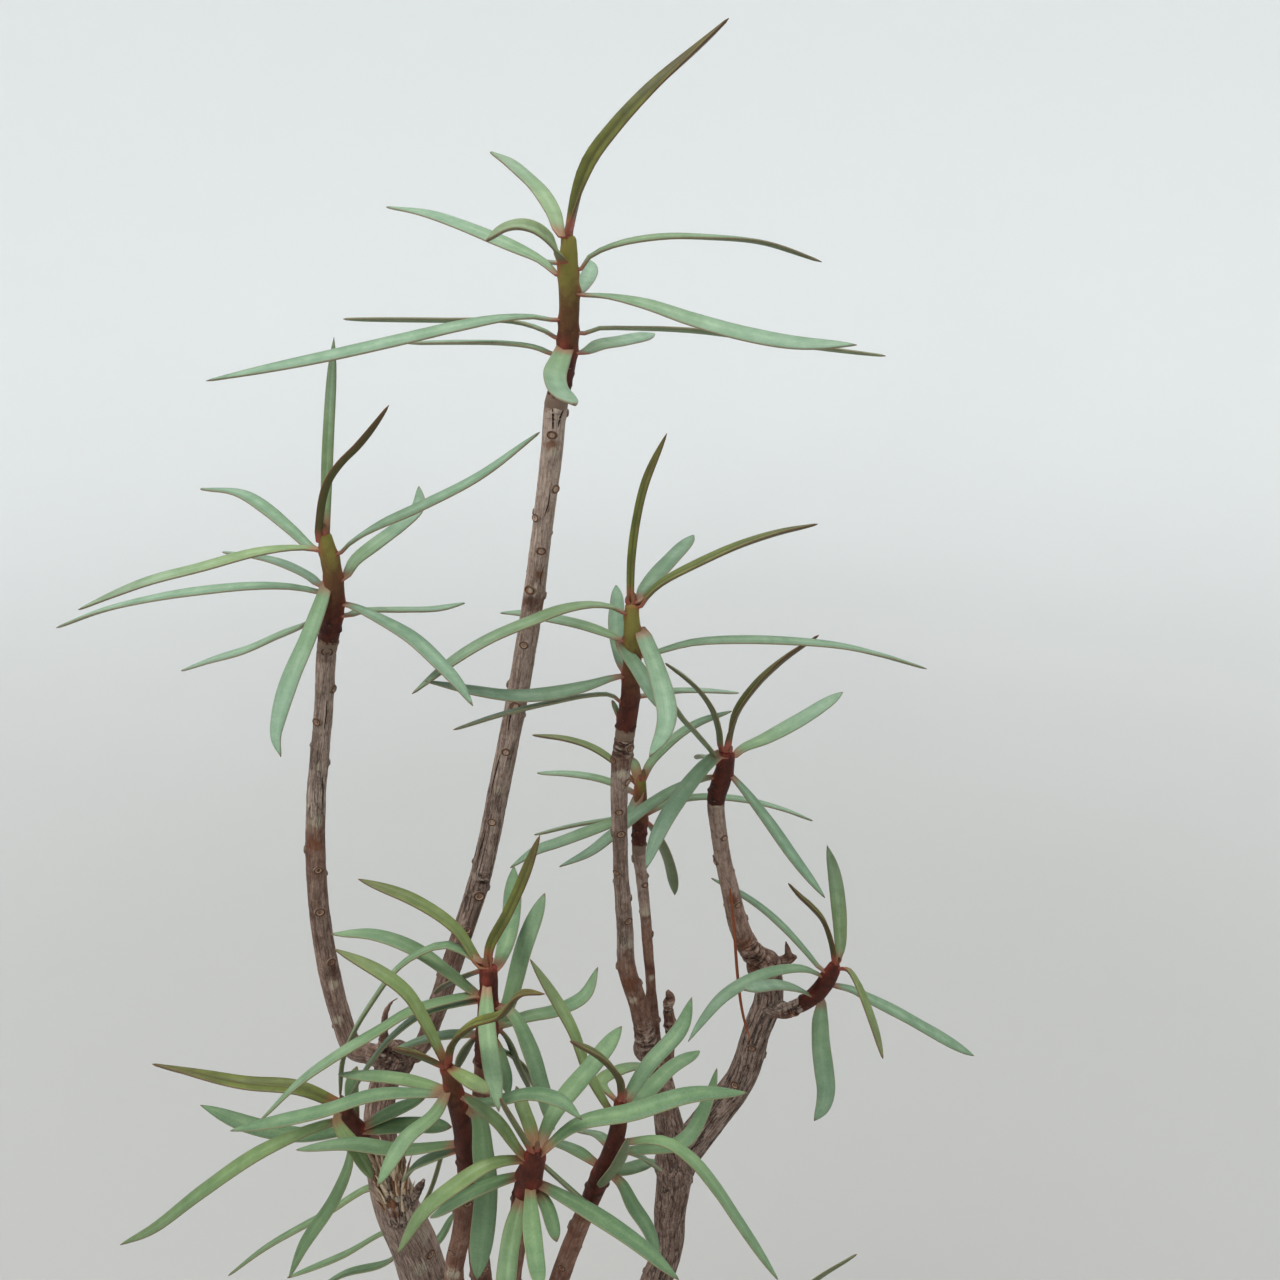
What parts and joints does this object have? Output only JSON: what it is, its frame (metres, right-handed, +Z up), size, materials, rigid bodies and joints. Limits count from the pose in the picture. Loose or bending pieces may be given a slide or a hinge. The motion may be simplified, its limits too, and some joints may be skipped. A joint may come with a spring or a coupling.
{
  "type": "potted balsam spurge",
  "caption": "Succulent shrub with bare grey woody stems, each ending in a rosette of narrow fleshy leaves, growing in a plain clay pot.",
  "frame": {"origin": "middle of the pot's flat base", "axes": "+Z up along the pot's axis; -Y is the front, from which the picture was taken; +X is to the right in that view"},
  "size_m": [0.2711, 0.1919, 0.598],
  "materials": {
    "clay": "matte fired clay with pale lime marks",
    "earth": "loose dark potting soil with grit",
    "bark": "dry grey-brown bark with leaf scars and fine cracks",
    "foliage": "matte grey-green fleshy leaf with a waxy bloom"
  },
  "bodies": {
    "root": {"pot": "clay", "soil": "earth", "woody_stems": "bark", "shoot_top": "foliage", "shoot_left": "foliage", "shoot_middle": "foliage", "shoot_rear_middle": "foliage", "shoot_right": "foliage", "shoot_right_twig": "foliage", "shoot_front_upper": "foliage", "shoot_front_left": "foliage", "shoot_front_centre": "foliage", "shoot_front_right": "foliage", "shoot_low_left": "foliage", "shoot_lowest_left": "foliage", "shoot_low_right": "foliage"}
  },
  "joints": []
}
